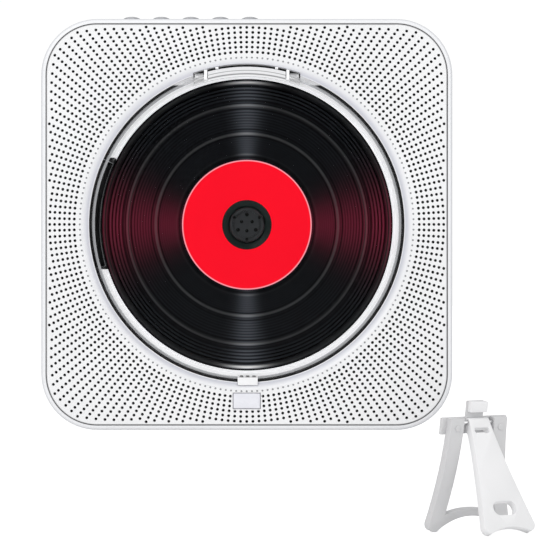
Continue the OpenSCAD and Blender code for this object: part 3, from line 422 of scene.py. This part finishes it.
def shadeLid(finish):
    # painted reflection: the rim of the clear plate, which catches light, is painted grey, and its thick hinge bar
    # is painted pale with thin grey lines, standing in for its highlights and edges
    tree = finish.node_tree
    x, up, _, radius = placeOf(tree)
    side = sizeOf(tree, x)
    rim = times(tree, beyond(tree, radius, lidPaintedLight["rimFrom"]), under(tree, radius, lidPaintedLight["rimTo"]))
    bar = times(tree, beyond(tree, radius, lidPaintedLight["barFrom"]), beyond(tree, up, lidPaintedLight["barAbove"]),
                under(tree, side, lidPaintedLight["earHalf"]))
    paintOver(finish, rim, lidPaintedLight["rim"])
    paintOver(finish, bar, lidPaintedLight["bar"])
    for line, width in lidPaintedLight["barLines"]:
        paintOver(finish, times(tree, bar, ringWeight(tree, radius, line, width)), lidPaintedLight["barLine"])
    barShow = mathNode(tree, "MULTIPLY_ADD", under(tree, side, lidPaintedLight["barHalf"]),
                       lidPaintedLight["barShow"] - lidPaintedLight["earShow"], lidPaintedLight["earShow"])
    shown = larger(tree, times(tree, rim, lidPaintedLight["rimShow"]), times(tree, bar, barShow))
    alpha = tree.nodes["Principled BSDF"].inputs["Alpha"]
    tree.links.new(larger(tree, alpha.links[0].from_socket, shown), alpha)


shadeLid(finishes["clearLid"])


hub = dict(spots=[(6.0, 30, 0.65), (4.2, 90, 0.8), (2.5, 30, 0.7)],  # distance, angle and radius, three of each
           spot=(0.0012, 0.0012, 0.0014), spotFade=(0.1, -0.15))


def shadeHub(finish):
    # painted shade: dark spots standing in for the small hollows in the middle of the turntable
    tree = finish.node_tree
    x, up, _, _ = placeOf(tree)
    for away, angle, size in hub["spots"]:
        for third in range(3):
            spotX, spotUp = onCircle(away * mm, math.radians(angle + 120 * third))
            reach = distanceOf(tree, minus(tree, x, spotX), minus(tree, up, spotUp))
            start, end = hub["spotFade"]
            paintOver(finish, fadeFor(tree, reach, size + start, size + end), hub["spot"])


shadeHub(finishes["hubDark"])
print("finishes:", len(finishes))


def coat(piece, finish):
    piece.data.materials.clear()
    piece.data.materials.append(finish)


rounding = dict(weld=0.002, flatTurn=0.4, segments=2)


def dress(finish, names, edge=0.0, sharp=35):
    # a finish for CAD pieces, with their edges rounded by 'edge' millimetres
    for name in names:
        piece = nodes[name]
        coat(piece, finishes[finish])
        smoothTo(piece.data, sharp)
        if not edge:
            continue
        weld = piece.modifiers.new("joinSeams", "WELD")
        weld.merge_threshold = rounding["weld"] * mm
        flat = piece.modifiers.new("flatFaces", "DECIMATE")
        flat.decimate_type = "DISSOLVE"
        flat.angle_limit = math.radians(rounding["flatTurn"])
        bevel = piece.modifiers.new("softEdge", "BEVEL")
        bevel.width = edge * mm
        bevel.segments = rounding["segments"]
        bevel.limit_method = "ANGLE"
        bevel.angle_limit = math.radians(sharp)
        bevel.use_clamp_overlap = True
        bevel.harden_normals = True


dress("caseFront", ["front_case"], 0.25)
dress("caseWhite", ["rear_cover"], 0.25)
dress("bayPaintedShade", ["disc_bay"], sharp=20)
dress("bayPale", ["latch_slider"], 0.15)
dress("clothBlack", ["dust_cloth"])
dress("blackMoulding", ["finger_well", "pickup_sled", "lens_holder", "switch_knob"], 0.12)
dress("clearLid", ["lid"], sharp=20)
dress("tabWhite", ["pull_tab"], 0.08)
dress("buttonWhite", ["open_button"], 0.2)
dress("keyGrey", ["key_1", "key_2", "key_3", "key_4", "key_5"], 0.25)
dress("brightSteel", ["hinge_pin_left", "hinge_pin_right", "upper_rod", "lower_rod"], 0.1)
dress("brightSteel", ["spindle_shaft", "gear_post", "stand_pin"], 0.1)
dress("zincScrew", ["case_screws", "bay_screws", "mech_screws", "speaker_screws"], 0.1)
dress("pressedSteel", ["mech_chassis", "spindle_motor", "sled_motor", "power_switch"], 0.12)
dress("dampRubber", ["mech_dampers"], 0.25)
dress("hubDark", ["spindle_hub", "hub_claws"], sharp=20)
dress("ivoryGear", ["motor_pinion", "drive_gear", "sled_rack"], 0.06)
dress("clearLens", ["lens"])
dress("boardGreen", ["main_board", "key_board"], 0.1)
dress("blackParts", ["board_parts", "power_jack", "audio_jack", "tact_switches"], 0.12)
dress("basketBlack", ["left_speaker", "right_speaker"], 0.15)
dress("coneGrey", ["left_cone", "right_cone"])
dress("standWhite", ["stand_leg", "stand_hook"], 0.4)
# painted shade: the rear frame, back plate and rivets are a darker copy of the stand's white
dress("standShadeGrey", ["stand_frame", "stand_back_plate", "stand_rivets"], 0.4)
print("finishes on the CAD pieces")


# the perforated front panel: rings of holes that are cut by its rounded outline
grille = dict(
    half=81.7, corner=20.7, cornerSteps=16, inner=67.6, innerSides=200, front=36.0, back=34.5,
    rays=200, rings=40, firstRing=70.4, pitch=2.0, holeRadius=0.62, holeSides=10,
    dimpleRing=68.1, dimpleRadius=0.42, dimpleDepth=0.5, dimpleSides=8,
    border=1.1, buttonRoom=0.8, buttonGap=0.15,  # bare edge, and room round the open button
    closest=1e-5, crease=40,
)


def holeFits(x, up):
    half, corner = grille["half"] - grille["border"], grille["corner"] - grille["border"]
    overX, overUp = max(abs(x) - half + corner, 0), max(abs(up) - half + corner, 0)
    inside = abs(x) < half and abs(up) < half and math.hypot(overX, overUp) < corner
    byButton = (abs(x) < openButton["halfWide"] + grille["buttonRoom"]
                and abs(up - openButton["up"]) < openButton["halfHigh"] + grille["buttonRoom"])
    return inside and not byButton


def ringPlaces(radius, count):
    return [onCircle(radius, i * 2 * math.pi / count) for i in range(count)]


def circleLoop(x, up, radius, sides):
    return [(x + away, up + above) for away, above in ringPlaces(radius, sides)]


def cornerLoop(half, corner, steps):
    loop = []
    for quarter, (sideX, sideUp) in enumerate([(1, 1), (-1, 1), (-1, -1), (1, -1)]):
        for i in range(steps + 1):
            x, up = onCircle(corner, math.radians(90 * (quarter + i / steps)))
            loop.append((sideX * (half - corner) + x, sideUp * (half - corner) + up))
    return loop


def boxLoop(halfWide, halfHigh, up):
    low, high = up - halfHigh, up + halfHigh
    return [(-halfWide, low), (halfWide, low), (halfWide, high), (-halfWide, high)]


def perforatedPlate(name, outer, cutouts, holes, dimples):
    loops = [outer] + cutouts + holes + dimples
    firstDimple = len(loops) - len(dimples)
    points, edges, loopOf = [], [], []
    for number, loop in enumerate(loops):
        first = len(points)
        points += [Vector(place) for place in loop]
        loopOf += [number] * len(loop)
        edges += [(first + i, first + (i + 1) % len(loop)) for i in range(len(loop))]
    flat, flatEdges, faces, fromPoint, _, _ = delaunay_2d_cdt(points, edges, [], 0, grille["closest"])
    owner = [loopOf[source[0]] if source else -1 for source in fromPoint]

    mesh = bmesh.new()
    front, back = [[mesh.verts.new(fromFront(*place, out)) for place in flat]
                   for out in (grille["front"], grille["back"])]
    sunk = {i: mesh.verts.new(fromFront(*flat[i], grille["front"] - grille["dimpleDepth"]))
            for i, number in enumerate(owner) if number >= firstDimple}
    for face in faces:
        owners = {owner[i] for i in face}
        inHole = len(owners) == 1 and 0 not in owners
        if inHole and owner[face[0]] < firstDimple:
            continue
        mesh.faces.new([sunk[i] if inHole else front[i] for i in face]).material_index = int(inHole)
        mesh.faces.new([back[i] for i in reversed(face)])
    # the walls of the holes and dimples, and the plate's own edges
    for a, b in flatEdges:
        if owner[a] != owner[b] or owner[a] < 0:
            continue
        below = sunk if owner[a] >= firstDimple else back
        rim = [face for face in front[a].link_faces if front[b] in face.verts]
        if len(rim) == 1:
            mesh.faces.new([front[a], front[b], below[b], below[a]])
    bmesh.ops.recalc_face_normals(mesh, faces=mesh.faces)
    return pieceFrom(name, mesh, grille["crease"])


rings = [grille["firstRing"] + ring * grille["pitch"] for ring in range(grille["rings"])]
holePlaces = [place for radius in rings for place in ringPlaces(radius, grille["rays"]) if holeFits(*place)]
gap = grille["buttonGap"]
buttonHole = boxLoop(openButton["halfWide"] + gap, openButton["halfHigh"] + gap, openButton["up"])
grillePlate = perforatedPlate(
    "grillePlate", cornerLoop(grille["half"], grille["corner"], grille["cornerSteps"]),
    [circleLoop(0, 0, grille["inner"], grille["innerSides"]), buttonHole],
    [circleLoop(x, up, grille["holeRadius"], grille["holeSides"]) for x, up in holePlaces],
    [circleLoop(x, up, grille["dimpleRadius"], grille["dimpleSides"])
     for x, up in ringPlaces(grille["dimpleRing"], grille["rays"])])
grillePlate.data.materials.append(finishes["grilleWhite"])
# painted shade: the dimples' floors take this grey finish
grillePlate.data.materials.append(finishes["grilleDimpleShade"])
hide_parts("grille_panel")
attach(grillePlate, "case")
print("front panel:", len(holePlaces), "holes,", len(grillePlate.data.polygons), "faces")


disc = dict(
    radius=60.0, hole=7.5, back=26.3, front=27.5, innerEdge=0.1, outerEdge=0.15, steps=256, crease=50,
    flat=(16.0, 57.2),  # radii between which the rounded edges don't touch the shading
    ridge=[(17.5, 0.0), (17.2, 0.15), (16.6, 0.15), (16.3, 0.0)],  # radius and height of the stacking ridge behind
    black=(0.0049, 0.0056, 0.0067), rough=0.24, specular=0.06,
    wine=(0.076, 0.0086, 0.0178), wineSpread=11.3,  # painted sheens: wine to the sides, grey up and down
    grey=(0.040, 0.044, 0.052), greySpread=4.7,
    groovePitch=0.90, groovePitchAt=33.0, grooveWidening=0.0231, grooveTurn=0.19,
    grooveSpan=(30.0, 57.0), grooveDepths=(0.05, 0.9), groovePower=1.3,
    # radius, half width, then painted light: all round, and more on the upright axis
    lightRings=[(29.0, 0.6, 0.004, 0.06), (37.5, 0.75, 0.034, 0.12), (49.1, 0.85, 0.025, 0.11),
                (58.55, 0.8, 0.017, 0.85)],
    # radius, half width
    darkRings=[(27.8, 0.8), (36.4, 0.5), (39.3, 0.5), (47.8, 0.5), (50.8, 0.6), (57.4, 0.6), (59.7, 0.7)],
    darkRing=(0.0015, 0.0015, 0.0018), darkShare=0.85,
    middleEdge=10.3, middle=(0.012, 0.018, 0.017), bump=(0.05, 0.02),
)
label = dict(red=(0.98, 0.0045, 0.020), redShade=0.97, rough=0.28, specular=0.06,
             rimAt=26.45, rimWidth=0.4, rim=(0.90, 0.42, 0.50),
             cloud=(40, 2), paper=(900, 2), bump=(0.1, 0.03))


def turnedPiece(name, outline, steps):
    mesh = bmesh.new()
    rings = []
    for i in range(steps):
        turn = 2 * math.pi * i / steps
        rings.append([mesh.verts.new(fromFront(*onCircle(radius, turn), out)) for radius, out in outline])
    count = len(outline)
    for i in range(steps):
        here, there = rings[i], rings[(i + 1) % steps]
        for j in range(count):
            mesh.faces.new([here[j], there[j], there[(j + 1) % count], here[(j + 1) % count]])
    bmesh.ops.recalc_face_normals(mesh, faces=mesh.faces)
    return pieceFrom(name, mesh, disc["crease"])


def wedgeWeight(tree, along, radius, spread):
    # a soft sheen on both sides of the middle, along the axis that 'along' follows; 'spread' is an angle
    share = mathNode(tree, "DIVIDE", sizeOf(tree, along), larger(tree, radius, mm))
    return mathNode(tree, "EXPONENT", times(tree, minus(tree, share, 1.0), math.radians(spread) ** -2))


def grooveWave(tree, radius):
    # concentric lines that make the colour lighter and darker, whose spacing grows outwards
    widening = disc["grooveWidening"] / disc["groovePitch"]
    stretch = mathNode(tree, "MULTIPLY_ADD", radius, widening / mm, 1 - widening * disc["groovePitchAt"])
    grown = mathNode(tree, "LOGARITHM", larger(tree, stretch, 0.1), math.e)
    turns = times(tree, grown, 2 * math.pi / disc["grooveWidening"])
    return mathNode(tree, "COSINE", minus(tree, turns, 2 * math.pi * disc["grooveTurn"]))


def grooveDepth(tree, radius):
    span = addNode(tree, "ShaderNodeMapRange")
    for socket, value in zip(("From Min", "From Max"), disc["grooveSpan"]):
        span.inputs[socket].default_value = value * mm
    tree.links.new(radius, span.inputs["Value"])
    grown = mathNode(tree, "POWER", span.outputs["Result"], disc["groovePower"])
    shallow, deep = disc["grooveDepths"]
    return mathNode(tree, "MULTIPLY_ADD", grown, deep, shallow)


def recordFinish():
    finish, tree, shader = newFinish("discPrintAndSheen", disc["black"], disc["rough"], specular=disc["specular"])
    x, up, _, radius = placeOf(tree)
    upright = wedgeWeight(tree, up, radius, disc["greySpread"])
    colour = mixColour(tree, wedgeWeight(tree, x, radius, disc["wineSpread"]), disc["black"], disc["wine"])
    colour = mixColour(tree, upright, colour, disc["grey"])
    groove = grooveWave(tree, radius)
    fine = mathNode(tree, "ADD", times(tree, groove, grooveDepth(tree, radius)), 1.0)
    colour = mixColour(tree, 1.0, colour, greyFrom(tree, fine), "MULTIPLY")
    for place, width in disc["darkRings"]:
        ring = times(tree, ringWeight(tree, radius, place, width), disc["darkShare"])
        colour = mixColour(tree, ring, colour, disc["darkRing"])
    for place, width, light, glint in disc["lightRings"]:
        shine = mathNode(tree, "MULTIPLY_ADD", upright, glint, light)
        ring = times(tree, shine, ringWeight(tree, radius, place, width))
        colour = mixColour(tree, 1.0, colour, greyFrom(tree, ring), "ADD")
    colour = mixColour(tree, under(tree, radius, disc["middleEdge"]), colour, disc["middle"])
    tree.links.new(colour, shader.inputs["Base Color"])
    addBump(tree, shader, groove, *disc["bump"])
    return finish


def labelFinish():
    finish, tree, shader = newFinish("labelPrint", label["red"], label["rough"], specular=label["specular"])
    radius = placeOf(tree)[3]
    cloud = noiseFor(tree, *label["cloud"])
    colour = cloudColour(tree, cloud, shaded(label["red"], label["redShade"]), label["red"])
    colour = mixColour(tree, ringWeight(tree, radius, label["rimAt"], label["rimWidth"]), colour, label["rim"])
    tree.links.new(colour, shader.inputs["Base Color"])
    addBump(tree, shader, noiseFor(tree, *label["paper"]), *label["bump"])
    return finish


def discOutline():
    hole, radius, back, front = disc["hole"], disc["radius"], disc["back"], disc["front"]
    inner, outer = disc["innerEdge"], disc["outerEdge"]
    return [
        (hole, back + inner), (hole, front - inner), (hole + inner, front),
        *[(place, front) for place in disc["flat"]],
        (radius - outer, front), (radius, front - outer), (radius, back + outer), (radius - outer, back),
        *[(place, back - height) for place, height in disc["ridge"]],
        (hole + inner, back),
    ]


recordDisc = turnedPiece("recordDisc", discOutline(), disc["steps"])
recordDisc.data.materials.append(recordFinish())
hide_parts("disc")
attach(recordDisc, "turntable")
coat(nodes["disc_label"], labelFinish())
print("disc and label")


# floor and world are seen brighter than they light the object
stage = dict(floorUp=-122.0, floorSize=6.0, floorGlow=0.5, floorWhite=(0.86, 0.86, 0.86), floorRough=0.9,
             cardSize=3.2, cardAway=1.6, worldLight=0.72, worldSeen=1.03)
lamps = [
    # name, place and width, height and power
    ("keyBox", (-0.55, -0.95, 0.62), 0.7, 0.5, 4.35),
    ("fillBox", (0.8, -0.8, 0.25), 0.5, 0.7, 1.6),
    ("topBox", (0.0, 0.1, 0.9), 0.8, 0.4, 0.4),
]
view = dict(x=9.5, up=-18.6, distance=1000.0, width=220.3, sensor=36, near=0.01, far=30)


def flatSheet(name, half):
    mesh = bmesh.new()
    bmesh.ops.create_grid(mesh, x_segments=8, y_segments=8, size=half)
    return pieceFrom(name, mesh)


def seenBy(tree, kinds):
    path = addNode(tree, "ShaderNodeLightPath")
    seen = path.outputs[kinds[0]]
    for kind in kinds[1:]:
        seen = larger(tree, seen, path.outputs[kind])
    return seen


def floorFinish():
    finish, tree, shader = newFinish("floorWhite", stage["floorWhite"], stage["floorRough"])
    seen = seenBy(tree, ["Is Camera Ray", "Is Glossy Ray", "Is Transmission Ray"])
    glow = addNode(tree, "ShaderNodeEmission")
    tree.links.new(times(tree, seen, stage["floorGlow"]), glow.inputs["Strength"])
    both = addNode(tree, "ShaderNodeAddShader")
    tree.links.new(shader.outputs[0], both.inputs[0])
    tree.links.new(glow.outputs[0], both.inputs[1])
    tree.links.new(both.outputs[0], tree.nodes["Material Output"].inputs["Surface"])
    return finish


def softbox(name, place, width, height, power):
    lamp = bpy.data.lights.new(name, "AREA")
    lamp.shape = "RECTANGLE"
    lamp.size, lamp.size_y = width, height
    lamp.energy = power
    holder = bpy.data.objects.new(name, lamp)
    holder.location = place
    holder.rotation_mode = "QUATERNION"
    holder.rotation_quaternion = (-Vector(place)).to_track_quat("-Z", "Y")
    bpy.context.scene.collection.objects.link(holder)


floor = flatSheet("floor", stage["floorSize"])
floor.location = (0, 0, stage["floorUp"] * mm)
coat(floor, floorFinish())

# a black card behind the camera, which only shows in what mirrors it
card = flatSheet("blackCard", stage["cardSize"] / 2)
card.location = (0, -stage["cardAway"], 0)
card.rotation_euler = (math.radians(90), 0, 0)
coat(card, finishes["cardBlack"])
card.visible_camera = card.visible_diffuse = card.visible_transmission = card.visible_shadow = False

world = bpy.data.worlds.new("studio")
world.use_nodes = True
sky = world.node_tree.nodes["Background"]
sky.inputs["Color"].default_value = (1, 1, 1, 1)
seen = seenBy(world.node_tree, ["Is Camera Ray", "Is Transmission Ray"])
strength = mathNode(world.node_tree, "MULTIPLY_ADD", seen, stage["worldSeen"] - stage["worldLight"],
                    stage["worldLight"])
world.node_tree.links.new(strength, sky.inputs["Strength"])
bpy.context.scene.world = world

for lamp in lamps:
    softbox(*lamp)

camera = bpy.data.objects.new("camera", bpy.data.cameras.new("camera"))
camera.data.sensor_width = view["sensor"]
camera.data.lens = view["sensor"] * view["distance"] / view["width"]
camera.data.clip_start, camera.data.clip_end = view["near"], view["far"]
camera.location = fromFront(view["x"], view["up"], grille["front"] + view["distance"])
camera.rotation_euler = (math.radians(90), 0, 0)
bpy.context.scene.collection.objects.link(camera)
bpy.context.scene.camera = camera
bpy.context.scene.view_settings.view_transform = "Standard"
print("stage, lamps and camera")
